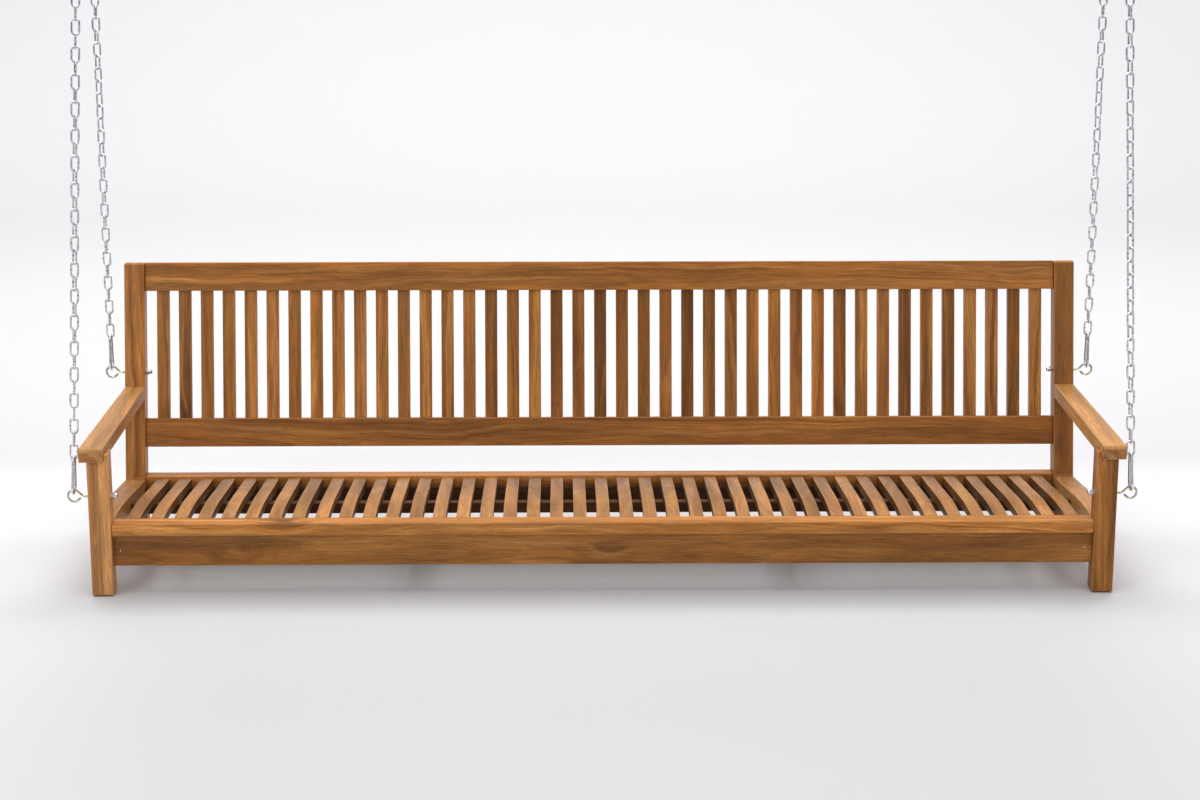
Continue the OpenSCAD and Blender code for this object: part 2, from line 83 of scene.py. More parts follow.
# ---------------------------------------------------------------- node graphs
class Graph:
    """Short hand for a material's nodes."""

    def __init__(self, name):
        self.m = bpy.data.materials.new(name)
        self.m.use_nodes = True
        self.nt = self.m.node_tree
        self.nt.nodes.clear()
        self.out = self.nt.nodes.new("ShaderNodeOutputMaterial")

    def node(self, kind, ins=None, **props):
        n = self.nt.nodes.new(kind)
        for k, v in props.items():
            setattr(n, k, v)
        for k, v in (ins or {}).items():
            s = n.inputs[k]
            if isinstance(v, bpy.types.NodeSocket):
                self.nt.links.new(v, s)
            else:
                s.default_value = v
        return n

    def math(self, op, a, b=0.0, c=0.0, clamp=False):
        n = self.node("ShaderNodeMath", {0: a, 1: b, 2: c}, operation=op)
        n.use_clamp = clamp
        return n.outputs[0]

    def vec(self, op, a, b=(0, 0, 0)):
        n = self.node("ShaderNodeVectorMath", {0: a, 1: b}, operation=op)
        return n.outputs["Value"] if op in ("LENGTH", "DOT_PRODUCT") else n.outputs[0]

    def scaled(self, v, k):
        n = self.node("ShaderNodeVectorMath", {0: v, "Scale": k}, operation="SCALE")
        return n.outputs[0]

    def noise(self, v, detail=2.0, rough=0.5, colour=False):
        n = self.node("ShaderNodeTexNoise", {"Vector": v, "Scale": 1.0, "Detail": detail, "Roughness": rough})
        return n.outputs["Color"] if colour else n.outputs[0]

    def ramp(self, f, stops, mode="LINEAR"):
        n = self.node("ShaderNodeValToRGB", {"Fac": f})
        e = n.color_ramp.elements
        n.color_ramp.interpolation = mode
        while len(e) < len(stops):
            e.new(0.5)
        for el, (p, c) in zip(e, stops):
            el.position = p
            el.color = (*c, 1.0) if len(c) == 3 else c
        return n.outputs["Color"]

    def band(self, f, a, b, lo=0.0, hi=1.0):
        n = self.node("ShaderNodeMapRange", {"Value": f, "From Min": a, "From Max": b, "To Min": lo, "To Max": hi})
        n.interpolation_type = "SMOOTHSTEP"
        return n.outputs["Result"]

    def mix(self, f, a, b, how="MIX"):
        n = self.node("ShaderNodeMix", data_type="RGBA", blend_type=how)
        for k, v in ((0, f), (6, a), (7, b)):
            s = n.inputs[k]
            if isinstance(v, bpy.types.NodeSocket):
                self.nt.links.new(v, s)
            else:
                s.default_value = (*v, 1.0) if isinstance(v, tuple) and len(v) == 3 else v
        return n.outputs[2]

    def attr(self, name):
        return self.node("ShaderNodeAttribute", attribute_name=name, attribute_type="GEOMETRY")

    def finish(self, **ins):
        p = self.node("ShaderNodeBsdfPrincipled")
        for k, v in ins.items():
            s = p.inputs[k.replace("_", " ")]
            if isinstance(v, bpy.types.NodeSocket):
                self.nt.links.new(v, s)
            else:
                s.default_value = v
        self.nt.links.new(p.outputs[0], self.out.inputs["Surface"])
        return self.m


def teak(name, dark, mid, light, rough, sawn=0.0):
    """Oiled teak. gco: place in the log, metres, x along the grain. kno: place
    from the board's knot. tone: brightness, warmth, streaks, and the eased edge, lightened as sanded wear and as a
    painted highlight."""
    g = Graph(name)
    v = g.attr("gco").outputs["Vector"]
    k = g.attr("kno").outputs["Vector"]
    ta = g.attr("tone")
    tone = g.node("ShaderNodeSeparateColor", {0: ta.outputs["Color"]})
    bright, warm, streak = tone.outputs[0], tone.outputs[1], tone.outputs[2]
    worn = ta.outputs["Alpha"]
    # the grain wanders: a slow wave, and a finer one
    w1 = g.vec("SUBTRACT", g.noise(g.vec("MULTIPLY", v, (1.9, 5.0, 5.0)), 1.0, 0.5, True), (0.5, 0.5, 0.5))
    w2 = g.vec("SUBTRACT", g.noise(g.vec("MULTIPLY", v, (9.0, 22.0, 22.0)), 2.0, 0.5, True), (0.5, 0.5, 0.5))
    v1 = g.vec("ADD", v, g.vec("MULTIPLY", w1, (0.0, 0.055, 0.055)))
    v1 = g.vec("ADD", v1, g.vec("MULTIPLY", w2, (0.0, 0.0075, 0.0075)))
    sep = g.node("ShaderNodeSeparateXYZ", {0: v1})
    gx, ga, gb = sep.outputs
    # rings bulge round a knot
    dk = g.vec("LENGTH", g.vec("MULTIPLY", k, (15.0, 45.0, 45.0)))
    bulge = g.math("EXPONENT", g.math("MULTIPLY", g.math("MULTIPLY", dk, dk), -1.0))
    r = g.math("SQRT", g.math("ADD", g.math("MULTIPLY", ga, ga), g.math("MULTIPLY", gb, gb)))
    r = g.math("ADD", r, g.math("MULTIPLY", bulge, 0.017))
    rings = g.node("ShaderNodeCombineXYZ", {0: g.math("MULTIPLY", gx, 0.75), 1: g.math("MULTIPLY", r, 118.0), 2: 3.1})
    t1 = g.noise(rings.outputs[0], 5.0, 0.62)
    heart = g.node("ShaderNodeCombineXYZ", {0: g.math("MULTIPLY", gx, 1.0), 1: g.math("MULTIPLY", r, 52.0), 2: 9.4})
    t2 = g.noise(heart.outputs[0], 2.0, 0.5)
    fibre = g.noise(g.vec("MULTIPLY", v1, (16.0, 760.0, 760.0)), 3.0, 0.6)
    lines = g.noise(g.vec("MULTIPLY", v1, (9.0, 270.0, 270.0)), 2.0, 0.65)
    pores = g.noise(g.vec("MULTIPLY", v1, (85.0, 2500.0, 2500.0)), 1.0, 0.5)
    blot = g.noise(g.vec("MULTIPLY", v, (3.2, 21.0, 21.0)), 2.0, 0.5)
    col = g.ramp(t1, [(0.27, dark), (0.47, mid), (0.54, mid), (0.74, light)])
    wide = g.noise(g.vec("MULTIPLY", v1, (0.9, 24.0, 24.0)), 1.0, 0.4)
    col = g.mix(1.0, col, g.band(wide, 0.36, 0.64, 0.80, 1.16), "MULTIPLY")
    # heartwood streaks
    dark_streak = g.math("MULTIPLY", g.band(t2, 0.545, 0.585), streak)
    col = g.mix(dark_streak, col, g.mix(0.5, col, dark))
    pale_streak = g.math("MULTIPLY", g.band(t2, 0.455, 0.415), g.math("MULTIPLY", streak, 0.62))
    col = g.mix(pale_streak, col, light)
    # knot heart and the dark eye round it
    eye = g.band(dk, 0.50, 0.16)
    halo = g.math("MULTIPLY", g.band(dk, 1.45, 0.5), g.band(t1, 0.58, 0.42))
    col = g.mix(g.math("MULTIPLY", halo, 0.85), col, tuple(c * 0.7 for c in dark))
    col = g.mix(g.math("MULTIPLY", eye, 0.8), col, tuple(c * 0.45 for c in dark))
    # fibres, pores, oil
    col = g.mix(1.0, col, g.band(fibre, 0.22, 0.78, 0.80, 1.18), "MULTIPLY")
    col = g.mix(1.0, col, g.band(lines, 0.30, 0.70, 0.79, 1.19), "MULTIPLY")
    pore = g.band(pores, 0.60, 0.70)
    col = g.mix(g.math("MULTIPLY", pore, 0.42), col, tuple(c * 0.4 for c in dark))
    col = g.mix(1.0, col, g.band(blot, 0.30, 0.70, 0.84, 1.14), "MULTIPLY")
    # each board has its own brightness and warmth; the seat slats' darker side faces are painted shade
    lit = g.node("ShaderNodeCombineColor", {0: g.math("ADD", g.math("MULTIPLY", bright, 0.95), 0.52),
                                            1: g.math("ADD", g.math("MULTIPLY", bright, 1.00), 0.49),
                                            2: g.math("ADD", g.math("MULTIPLY", bright, 1.05), 0.46)})
    col = g.mix(1.0, col, lit.outputs[0], "MULTIPLY")
    hue = g.mix(warm, (0.97, 0.99, 0.88), (1.0, 0.93, 1.0))
    col = g.mix(1.0, col, hue, "MULTIPLY")
    # eased edges turn lighter: partly sanded wear, partly painted highlight
    col = g.mix(g.math("MULTIPLY", worn, 0.30), col, light)
    rg = g.math("ADD", g.math("MULTIPLY", fibre, 0.16), rough)
    rg = g.math("ADD", rg, g.math("MULTIPLY", pore, 0.15), clamp=True)
    height = g.math("SUBTRACT", g.math("MULTIPLY", fibre, 0.5 + sawn), g.math("MULTIPLY", pore, 0.8))
    bump = g.node("ShaderNodeBump", {"Strength": 0.35 + sawn * 0.4, "Distance": 0.00025, "Height": height})
    return g.finish(Base_Color=col, Roughness=rg, Normal=bump.outputs[0], Specular_IOR_Level=0.26)


def metal(name, base, other, rough, spots, bump=0.15, scale=1.0):
    """Plated wire: two tones that wander over it, dull patches, fine draw marks."""
    g = Graph(name)
    co = g.node("ShaderNodeTexCoord").outputs["Object"]
    a = g.noise(g.scaled(co, 95.0 * scale), 3.0, 0.6)
    b = g.noise(g.scaled(co, 420.0 * scale), 2.0, 0.6)
    c = g.noise(g.scaled(co, 1900.0 * scale), 1.0, 0.5)
    col = g.mix(g.band(a, 0.40, 0.60), base, other)
    col = g.mix(g.math("MULTIPLY", g.band(b, 0.58, 0.70), spots), col, tuple(x * 0.35 for x in base))
    rg = g.math("ADD", g.math("MULTIPLY", g.band(b, 0.35, 0.65), 0.16), rough, clamp=True)
    bp = g.node("ShaderNodeBump", {"Strength": bump, "Distance": 0.0002, "Height": g.math("ADD", b, g.math("MULTIPLY", c, 0.4))})
    return g.finish(Base_Color=col, Metallic=1.0, Roughness=rg, Normal=bp.outputs[0])


OILED = teak("teak_oiled", (0.232, 0.078, 0.012), (0.452, 0.176, 0.034), (0.675, 0.315, 0.094), 0.36)
# a paler, greyer copy of the oiled teak for the seat slats, armrests, side rails and left front leg: painted sheen of
# the light on them
TEAK_PAINTED_SHEEN = teak("teak_oiled_painted_sheen", (0.272, 0.116, 0.031), (0.392, 0.183, 0.055), (0.545, 0.298, 0.115), 0.36)
# the sawn teak is coloured far darker than the wood itself: painted shade for the members in the hollow under the
# seat
SAWN_PAINTED_SHADE = teak("teak_sawn_painted_shade", (0.040, 0.014, 0.004), (0.075, 0.029, 0.009), (0.125, 0.053, 0.018), 0.62, 0.8)
ZINC = metal("zinc_bright", (0.80, 0.81, 0.83), (0.66, 0.675, 0.70), 0.09, 0.30)
GALV = metal("zinc_chain", (0.78, 0.79, 0.81), (0.60, 0.61, 0.64), 0.09, 0.45)
GOLD = metal("zinc_yellow", (0.66, 0.61, 0.40), (0.47, 0.48, 0.43), 0.10, 0.55, scale=0.8)
BLACK = metal("black_oxide", (0.085, 0.085, 0.09), (0.055, 0.055, 0.06), 0.30, 0.3)


# ---------------------------------------------------------------- wood
def prism(prof, w0, w1, place):
    bm = bmesh.new()
    a = [bm.verts.new(place(u, v, w0)) for u, v in prof]
    b = [bm.verts.new(place(u, v, w1)) for u, v in prof]
    n = len(prof)
    bm.faces.new(a[::-1])
    bm.faces.new(b)
    for i in range(n):
        bm.faces.new((a[i], a[(i + 1) % n], b[(i + 1) % n], b[i]))
    bmesh.ops.recalc_face_normals(bm, faces=bm.faces)
    return bm


def eased(bm, rule, seg=3, cuts=(), sharp=0.45):
    """(corners, faces, bevel marks) of a board with its edges eased by rule(a, b) millimetres."""
    layer = bm.edges.layers.float.new("bevel_weight_edge")
    radii = {}
    for e in bm.edges:
        if e.calc_face_angle(0.0) > sharp:
            radii[e] = rule(np.array(e.verts[0].co), np.array(e.verts[1].co))
    top = max(radii.values())
    for e, r in radii.items():
        e[layer] = r / top
    me = bpy.data.meshes.new("tmp")
    bm.to_mesh(me)
    bm.free()
    me.materials.append(OILED)
    me.materials.append(SAWN_PAINTED_SHADE)
    ob = bpy.data.objects.new("tmp", me)
    bpy.context.scene.collection.objects.link(ob)
    mod = ob.modifiers.new("b", "BEVEL")
    mod.width, mod.segments, mod.limit_method, mod.material = top, seg, "WEIGHT", 1
    mod.use_clamp_overlap = False
    dg = bpy.context.evaluated_depsgraph_get()
    me2 = bpy.data.meshes.new_from_object(ob.evaluated_get(dg))
    bm = bmesh.new()
    bm.from_mesh(me2)
    bpy.data.objects.remove(ob)
    bpy.data.meshes.remove(me)
    bpy.data.meshes.remove(me2)
    for co, no in cuts:
        bmesh.ops.bisect_plane(bm, geom=bm.verts[:] + bm.edges[:] + bm.faces[:], plane_co=co, plane_no=no, dist=1e-4)
    bm.verts.ensure_lookup_table()
    verts = np.array([v.co for v in bm.verts])
    faces = [[v.index for v in f.verts] for f in bm.faces]
    mark = np.array([1.0 if f.material_index == 1 else 0.0 for f in bm.faces])
    bm.free()
    return verts, faces, mark


AX = {"x": np.array([[1, 0, 0], [0, 1, 0], [0, 0, 1]], float),
      "y": np.array([[0, 1, 0], [1, 0, 0], [0, 0, 1]], float),
      "z": np.array([[0, 0, 1], [1, 0, 0], [0, 1, 0]], float),
      "back": np.array([[0, SR, CR], [1, 0, 0], [0, CR, -SR]], float)}


class Wood:
    """Boards gathered into one object; each keeps its own place in a log."""

    def __init__(self, name, nodes, seed, mat=OILED, body="bench", slot="teak"):
        self.name, self.nodes, self.mat, self.body, self.slot = name, nodes, mat, body, slot
        self.rng = np.random.default_rng(seed)
        self.v, self.f, self.g, self.k, self.t, self.n = [], [], [], [], [], 0

    def tone(self, bright=0.5, spread=0.16, warm=None, streak=None):
        r = self.rng
        b = bright + r.uniform(-spread, spread)
        w = r.uniform(0.2, 0.8) if warm is None else warm
        s = r.uniform(0.2, 0.9) if streak is None else streak
        return [min(max(b, 0.0), 1.0), w, s]

    def add(self, part, grain, tones=None, shift=(0, 0, 0), pith=None, knots=None, cell=None, one_log=False):
        """tones, pith, knots: one entry for each cell; cell(face centre) picks it."""
        verts, faces, mark = part
        verts = verts + np.array(shift, float)
        axes = AX[grain]
        tones = tones or [self.tone()]
        n = len(tones)
        pith = pith or [None] * n
        knots = knots or [None] * n
        r = self.rng
        piths = []
        for p in pith:
            d, a = p if p else (r.uniform(0.05, 0.16), r.uniform(0, 2 * math.pi))
            piths.append((r.uniform(0, 40.0), d * math.cos(a), d * math.sin(a)))
        if one_log:
            piths = [piths[0]] * n
        centre = (verts.min(0) + verts.max(0)) / 2
        lv = np.concatenate([np.array(f) for f in faces])
        lf = np.repeat(np.arange(len(faces)), [len(f) for f in faces])
        mid = np.zeros((len(faces), 3))
        np.add.at(mid, lf, verts[lv])
        mid /= np.bincount(lf)[:, None]
        which = np.zeros(len(faces), int) if cell is None else np.array([cell(m) for m in mid])
        p = verts[lv]
        local = (p - centre) @ axes.T * 0.001
        wl = which[lf]
        g = local + np.array(piths)[wl]
        k = np.full_like(g, 9.0)
        for i, kn in enumerate(knots):
            if kn is not None:
                sel = wl == i
                k[sel] = (p[sel] - np.array(kn, float)) @ axes.T * 0.001
        t = np.column_stack([np.array(tones)[wl], mark[lf]])
        self.v.append(verts)
        self.f += [[i + self.n for i in f] for f in faces]
        self.g.append(g)
        self.k.append(k)
        self.t.append(t)
        self.n += len(verts)

    def make(self):
        me = bpy.data.meshes.new(self.name)
        v = to_frame(np.concatenate(self.v))
        me.from_pydata(v.tolist(), [], self.f)
        for name, kind, data, field in (("gco", "FLOAT_VECTOR", self.g, "vector"), ("kno", "FLOAT_VECTOR", self.k, "vector"),
                                        ("tone", "FLOAT_COLOR", self.t, "color")):
            at = me.attributes.new(name, kind, "CORNER")
            at.data.foreach_set(field, np.concatenate(data).astype(np.float32).ravel())
        me.materials.append(self.mat)
        me.shade_smooth()
        ob = bpy.data.objects.new(self.name, me)
        bpy.context.scene.collection.objects.link(ob)
        mod = ob.modifiers.new("normals", "WEIGHTED_NORMAL")
        mod.weight, mod.keep_sharp = 80, False
        done = bpy.data.meshes.new_from_object(ob.evaluated_get(bpy.context.evaluated_depsgraph_get()))
        ob.modifiers.clear()
        ob.data = done
        done.name = self.name
        bpy.data.meshes.remove(me)
        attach(ob, self.body)
        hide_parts(*self.nodes)
        return ob


def along_x(u, v, w):
    return (w, u, v)


def in_back(u, v, w):
    """u rearwards and v up in the reclined plane of the back, w along X."""
    return (w, 525 + u * CR + v * SR, 134 - u * SR + v * CR)


def box_prof(a0, b0, a1, b1):
    return [(a0, b0), (a1, b0), (a1, b1), (a0, b1)]


def all_edges(r):
    return lambda a, b: r


for side, s in (("left", -1), ("right", 1)):
    # front legs: two laminations, the outer one darker
    x0, x1 = sorted((s * INX, s * HALF))
    seam = s * 1175.0 + (2.0 if s < 0 else 7.0)
    leg = eased(prism(box_prof(0, 0, 50, 341), x0, x1, along_x),
                lambda a, b: 0.6 if min(a[2], b[2]) > 335 else (1.0 if max(a[2], b[2]) < 1 else 1.8), 3, [((seam, 0, 0), (1, 0, 0))])
    # the left leg takes the teak with painted sheen, the right leg the plain oiled teak
    w = Wood(f"wood_front_leg_{side}", [f"front_leg_{side}"], 11 + s, TEAK_PAINTED_SHEEN if s < 0 else OILED)
    tones = [[0.94, 0.85, 0.3], [1.28, 0.80, 0.2]] if s < 0 else [[0.40, 0.45, 0.35], [0.36, 0.45, 0.55]]
    w.add(leg, "z", tones, pith=[(0.13, 0.3), (0.09, 2.0)], cell=lambda m: 0 if m[0] < seam else 1)
    w.make()
    # back posts: sawn from a wide plank, upright below, reclined above
    kink = in_back(50, 50 * (1 - CR) / SR, 0)
    prof = [(525, 0), (575, 0), kink[1:], in_back(50, 545, 0)[1:], in_back(0, 545, 0)[1:], (525, 134)]

    def post_rule(a, b):
        if min(a[2], b[2]) > 640:
            return 7.0
        if max(a[2], b[2]) < 1:
            return 1.2
        return 2.4

    post = eased(prism(prof, x0, x1, along_x), post_rule, 4, sharp=0.1)
    w = Wood(f"wood_back_post_{side}", [f"back_post_{side}"], 21 + s)
    w.add(post, "back", [[0.42 if s < 0 else 0.10, 0.55, 0.25]], pith=[(0.12, 0.5 + s)])
    w.make()
    # armrests
    bm = bmesh.new()
    low = [(s * 1158, -14, 326), (s * 1215, -14, 326), (s * 1200.44, 567.4, 326), (s * 1150.23, 567.4, 326)]
    high = [(s * 1158, -14, 360), (s * 1215, -14, 360), (s * 1200.25, 574.9, 360), (s * 1150.13, 574.9, 360)]
    lo = [bm.verts.new(p) for p in low]
    hi = [bm.verts.new(p) for p in high]
    bm.faces.new(lo)
    bm.faces.new(hi)
    for i in range(4):
        bm.faces.new((lo[i], lo[(i + 1) % 4], hi[(i + 1) % 4], hi[i]))
    bmesh.ops.recalc_face_normals(bm, faces=bm.faces)

    def arm_rule(a, b):
        if a[1] < 0 and b[1] < 0:
            return 9.0 if min(a[2], b[2]) > 350 else 3.0
        if a[1] > 560 and b[1] > 560:
            return 0.5
        return 3.0

    w = Wood(f"wood_armrest_{side}", [f"armrest_{side}"], 31 + s, TEAK_PAINTED_SHEEN, slot="teak_sunlit")
    w.add(eased(bm, arm_rule, 5, [((0, -8.5, 0), (0, 1, 0))]), "y", [[0.76 if s < 0 else 0.86, 0.62 if s < 0 else 0.3, 0.15], [0.52 if s < 0 else 0.40, 0.62, 0.9]], pith=[(0.07, 1.2), (0.03, 1.0)],
          cell=lambda m: 1 if m[1] < -8.5 and m[2] < 352 else 0)
    w.make()
    # seat side rails
    line = seat_line(50, 525, -1)
    rail = eased(prism([(50, 72)] + [(525, 72)] + line[::-1], x0, x1, along_x), all_edges(1.2), 2)
    w = Wood(f"wood_side_rail_{side}", [f"seat_side_rail_{side}"], 41 + s, TEAK_PAINTED_SHEEN, slot="teak_sunlit")
    w.add(rail, "y", [[0.80, 0.5, 0.3]], pith=[(0.1, 0.4)])
    w.make()

# front board: rounded upper front edge
arc = [(5 + 5 * (1 - math.sin(a)), 167.5 + 5 * math.cos(a)) for a in np.linspace(0, math.pi / 2, 6)]
prof = [(5, 143.2), (53, 143.2), (53, 172.5)] + arc
w = Wood("wood_front_board", ["seat_front_board"], 51, slot="teak_sunlit")
w.add(eased(prism(prof, -INX + 0.5, INX - 0.5, along_x), all_edges(1.2), 2, [((-100, 0, 0), (1, 0, 0))]),
      "x", [[0.66, 0.35, 0.40]] * 2, pith=[(0.07, 0.35)] * 2, knots=[(-750, 22, 172), (620, 26, 150)],
      cell=lambda m: 0 if m[0] < -100 else 1, one_log=True)
w.make()

w = Wood("wood_front_apron", ["front_apron"], 61)
w.add(eased(prism(box_prof(15, 67.5, 37, 141.5), -INX + 0.5, INX - 0.5, along_x), lambda a, b: 2.4 if min(a[2], b[2]) > 140 else 1.1, 2, [((-420, 0, 0), (1, 0, 0)), ((520, 0, 0), (1, 0, 0))]),
      "x", [[0.19, 0.10, 0.45]] * 3, pith=[(0.06, 0.25)] * 3, knots=[(-860, 26, 96), (15, 29, 104), (900, 31, 120)],
      cell=lambda m: 0 if m[0] < -420 else (1 if m[0] < 520 else 2), one_log=True)
w.make()

# the cleats, mid bearer and cross beams under the seat take the sawn teak with its painted shade
w = Wood("wood_front_cleat", ["front_seat_cleat"], 71, SAWN_PAINTED_SHADE, slot="teak_rough")
w.add(eased(prism([(37, 75), (67, 75), (67, seat_z(67) - 22), (53, seat_z(53) - 22), (53, 142.5), (37, 142.5)], -INX + 0.2, INX - 0.2, along_x), all_edges(0.8), 2),
      "x", [[0.45, 0.5, 0.4]])
w.make()
# the mid bearer's brighter tone takes back part of that painted shade, as painted light for the top edge lit through
# the gaps
w = Wood("wood_mid_bearer", ["seat_mid_bearer"], 72, SAWN_PAINTED_SHADE, slot="teak_rough")
w.add(eased(prism([(290, 110.7), (330, 110.7), (330, seat_z(330) - 22), (310, seat_z(310) - 22), (290, seat_z(290) - 22)], -INX + 0.2, INX - 0.2, along_x), all_edges(0.8), 2),
      "x", [[1.0, 0.45, 0.3]])
w.make()
w = Wood("wood_rear_cleat", ["rear_seat_cleat"], 73, SAWN_PAINTED_SHADE, slot="teak_rough")
w.add(eased(prism([(508, 75), (530, 75), (530, seat_z(530) - 22), (508, seat_z(508) - 22)], -INX + 0.2, INX - 0.2, along_x), all_edges(0.8), 2), "x", [[0.45, 0.5, 0.4]])
w.make()
w = Wood("wood_rear_rail", ["rear_seat_rail"], 74, slot="teak_sunlit")
w.add(eased(prism(box_prof(530, 66, 570, 137), -INX + 0.2, INX - 0.2, along_x), all_edges(2.0), 3), "x", [[0.60, 0.6, 0.3]])
w.make()
w = Wood("wood_cross_beams", ["seat_cross_beams"], 75, SAWN_PAINTED_SHADE, slot="teak_rough")
for c in (-8.3 * PITCH, 8.3 * PITCH):
    w.add(eased(prism(box_prof(67, 75, 508, 110.7), c - 11, c + 11, along_x), all_edges(1.0), 2), "y")
w.make()

# seat slats, shaped along their length
top = seat_line(53, 530, 0)
under = seat_line(53, 530, -22)
slat = eased(prism(under + top[::-1], -15.5, 15.5, along_x), lambda a, b: 1.7 if abs(a[0] - b[0]) < 1 else 0.4, 3)
w = Wood("wood_seat_slats", ["seat_slats"], 83, TEAK_PAINTED_SHEEN, slot="teak_sunlit")
for i in range(SLATS):
    b = w.tone(0.50, 0.13, w.rng.uniform(0.4, 0.9), w.rng.uniform(0.0, 0.35))
    # each slat's side faces get a tone 0.58 darker than its top: painted shade of the narrow gaps between the slats
    w.add(slat, "y", [b, [b[0] - 0.58, b[1], b[2]]], ((i - 20) * PITCH, 0, 0), pith=[(w.rng.uniform(0.07, 0.2), w.rng.uniform(0, 6.3))] * 2,
          cell=lambda m, x=(i - 20) * PITCH: 1 if abs(m[0] - x) > 15.4 else 0, one_log=True)
w.make()

# the back
slat = eased(prism(box_prof(16, 151, 34, 473), -15.5, 15.5, in_back), all_edges(1.6), 3)
w = Wood("wood_back_slats", ["back_slats"], 94)
for i in range(SLATS):
    x = (i - 20) * PITCH
    knot = [in_back(22, 150, x)] if i == 1 else ([in_back(24, 158, x)] if i == 39 else None)
    w.add(slat, "back", [w.tone(0.22, 0.24, w.rng.uniform(0.1, 0.7), w.rng.uniform(0.5, 1.0))], (x, 0, 0), knots=knot)
w.make()
for name, z0, tn, seed in (("back_top_rail", 473, [0.32, 0.40, 0.45], 101), ("back_lower_rail", 79, [0.26, 0.40, 0.40], 105)):
    w = Wood("wood_" + name, [name], seed)
    w.add(eased(prism(box_prof(10, z0, 40, z0 + 72), -INX + 0.2, INX - 0.2, in_back), all_edges(2.2), 3), "x", [tn], pith=[(0.065, 0.5)])
    w.make()


# ---------------------------------------------------------------- metal
def sweep(path, section, closed=False, normal=(0, 1, 0)):
    """A tube along a plane path; section(i, angle) gives its two half sizes' point."""
    path = np.array(path, float)
    n = len(path)
    nrm = np.array(normal, float)
    if closed:
        tan = np.roll(path, -1, 0) - np.roll(path, 1, 0)
    else:
        tan = np.gradient(path, axis=0)
    tan /= np.linalg.norm(tan, axis=1)[:, None]
    side = np.cross(nrm, tan)
    rings = []
    for i in range(n):
        a, b = section(i)
        rings.append(path[i] + a[:, None] * side[i] + b[:, None] * nrm)
    m = len(rings[0])
    v = np.concatenate(rings)
    f = []
    for i in range(n if closed else n - 1):
        j = (i + 1) % n
        for k in range(m):
            l = (k + 1) % m
            f.append([i * m + k, i * m + l, j * m + l, j * m + k])
    if not closed:
        f.append([k for k in range(m)][::-1])
        f.append([(n - 1) * m + k for k in range(m)])
    return v, f


def outward(v, f):
    """Faces turned so that the solid's volume is positive."""
    vol = 0.0
    for q in f:
        for i in range(1, len(q) - 1):
            vol += np.dot(v[q[0]], np.cross(v[q[i]], v[q[i + 1]]))
    return f if vol > 0 else [q[::-1] for q in f]


def ring_points(m):
    a = np.arange(m) * 2 * math.pi / m
    return np.cos(a), np.sin(a)


def metal_object(name, parts, mats, nodes, body, smooth=0.7):
    """parts: (corners in frame metres, faces, material number)."""
    v, f, mi, n = [], [], [], 0
    for a, b, c in parts:
        b = outward(a - a.mean(0), b)
        v.append(a)
        f += [[i + n for i in q] for q in b]
        mi += list(c) if hasattr(c, "__len__") else [c] * len(b)
        n += len(a)
    me = bpy.data.meshes.new(name)
    me.from_pydata(np.concatenate(v).tolist(), [], f)
    for m in mats:
        me.materials.append(m)
    me.polygons.foreach_set("material_index", mi)
    me.shade_smooth()
    me.set_sharp_from_angle(angle=smooth)
    ob = bpy.data.objects.new(name, me)
    bpy.context.scene.collection.objects.link(ob)
    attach(ob, body)
    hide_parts(*nodes)
    return ob


def rot_z(p, a):
    c, s = math.cos(a), math.sin(a)
    return np.column_stack([p[:, 0] * c - p[:, 1] * s, p[:, 0] * s + p[:, 1] * c, p[:, 2]])


def hang(p, s, y, z, lean):
    """From a hanging chain's own frame to the model's, in metres."""
    c, n = math.cos(lean), math.sin(lean)
    q = np.column_stack([p[:, 0] * c - p[:, 2] * n + 1236.0, p[:, 1] + y, p[:, 0] * n + p[:, 2] * c + z])
    q[:, 0] *= s
    return to_frame(q)


ENDS = {"front": (25.0, 250.0, LEAN), "rear": (EYE_YR, 405.0, 0.0)}

# one welded link: a stadium of wire with a small weld bead on one leg
R, H = 8.45, 9.3
pts, rad = [], []
for a in np.linspace(0, math.pi, 15):
    pts.append((R * math.cos(a), 0, H + R * math.sin(a)))
    rad.append(2.25)
for z in np.linspace(H, -H, 17)[1:-1]:
    pts.append((-R, 0, z))
    rad.append(2.25 + 0.42 * math.exp(-(z / 1.7) ** 2) - 0.10 * math.exp(-((abs(z) - 3.6) / 1.2) ** 2))
for a in np.linspace(math.pi, 2 * math.pi, 15):
    pts.append((R * math.cos(a), 0, -H + R * math.sin(a)))
    rad.append(2.25)
for z in np.linspace(-H, H, 5)[1:-1]:
    pts.append((R, 0, z))
    rad.append(2.25)
CS, SN = ring_points(14)
LINK_V, LINK_F = sweep(pts, lambda i: (rad[i] * CS, rad[i] * SN), closed=True)

for end, (y, z, lean) in ENDS.items():
    n = 36 if end == "front" else 31
    quarter = 0 if n % 2 == 0 else 90
    for side, s in (("left", -1), ("right", 1)):
        swell = 34 * s if end == "front" else -24
        parts = []
        for i in range(n):
            turn = 90 * i + quarter * i / (n - 1) + swell * math.sin(math.pi * i / (n - 1))
            p = rot_z(LINK_V, math.radians(turn + (180 if i % 3 == 1 else 0)))
            p[:, 2] += LINK_D0 + 17.75 + LINK_PITCH * i
            parts.append((hang(p, s, y, z, lean), LINK_F, 0))
        metal_object(f"links_{end}_{side}", parts, [GALV], [f"chain_{end}_{side}"], f"{end}_chains")


def arc_xz(r, a0, a1, n, cz=0.0):
    return [(r * math.cos(math.radians(a)), 0.0, cz + r * math.sin(math.radians(a))) for a in np.linspace(a0, a1, n)]


def resample(path, step):
    path = np.array(path, float)
    d = np.r_[0, np.cumsum(np.linalg.norm(np.diff(path, axis=0), axis=1))]
    n = max(2, int(round(d[-1] / step)))
    t = np.linspace(0, d[-1], n + 1)
    return np.column_stack([np.interp(t, d, path[:, k]) for k in range(3)]), t


